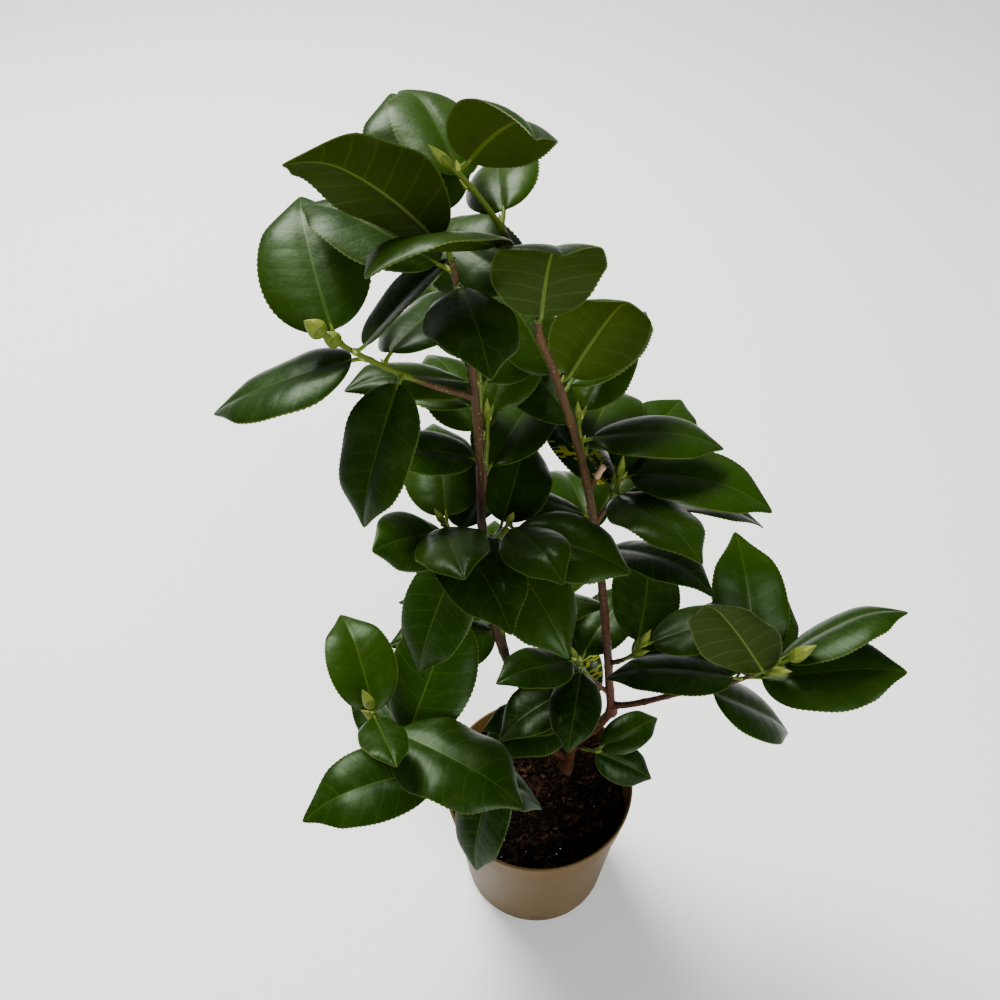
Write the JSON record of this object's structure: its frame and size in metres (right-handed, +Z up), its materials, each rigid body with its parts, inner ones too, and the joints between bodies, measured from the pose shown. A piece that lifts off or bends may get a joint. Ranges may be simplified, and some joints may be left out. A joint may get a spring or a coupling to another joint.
{
  "type": "potted camellia shrub",
  "caption": "Young camellia shrub with glossy dark green leaves and pale green buds on slender leaning stems, growing in a tan plastic nursery pot of dark compost.",
  "frame": {"origin": "the middle of the pot's flat underside, where the plant stands on the ground", "axes": "+Z points up along the plant, -Y points to the front that is seen in the picture, and +X points to the right as seen from the front"},
  "size_m": [0.383, 0.22, 0.6895],
  "materials": {
    "pot_plastic": "matte tan plastic, faintly speckled",
    "compost": "dark crumbly compost",
    "bark": "smooth red-brown young bark",
    "foliage": "glossy dark green leaf"
  },
  "bodies": {
    "root": {"pot": "pot_plastic", "soil": "compost", "trunk": "bark", "left_bough": "bark", "right_bough": "bark", "tall_bough": "bark", "side_bough": "bark", "low_bough": "bark", "tall_head": "foliage", "left_head": "foliage", "left_shoot": "foliage", "upper_shoot": "foliage", "middle_shoot": "foliage", "middle_back": "foliage", "left_middle": "foliage", "left_back": "foliage", "lower_shoot": "foliage", "centre_shoot": "foliage", "side_shoot": "foliage", "low_shoot": "foliage", "low_back": "foliage", "centre_back": "foliage", "upper_back": "foliage", "high_back": "foliage", "front_middle": "foliage", "foot_shoot": "foliage", "right_foot": "foliage"}
  },
  "joints": []
}
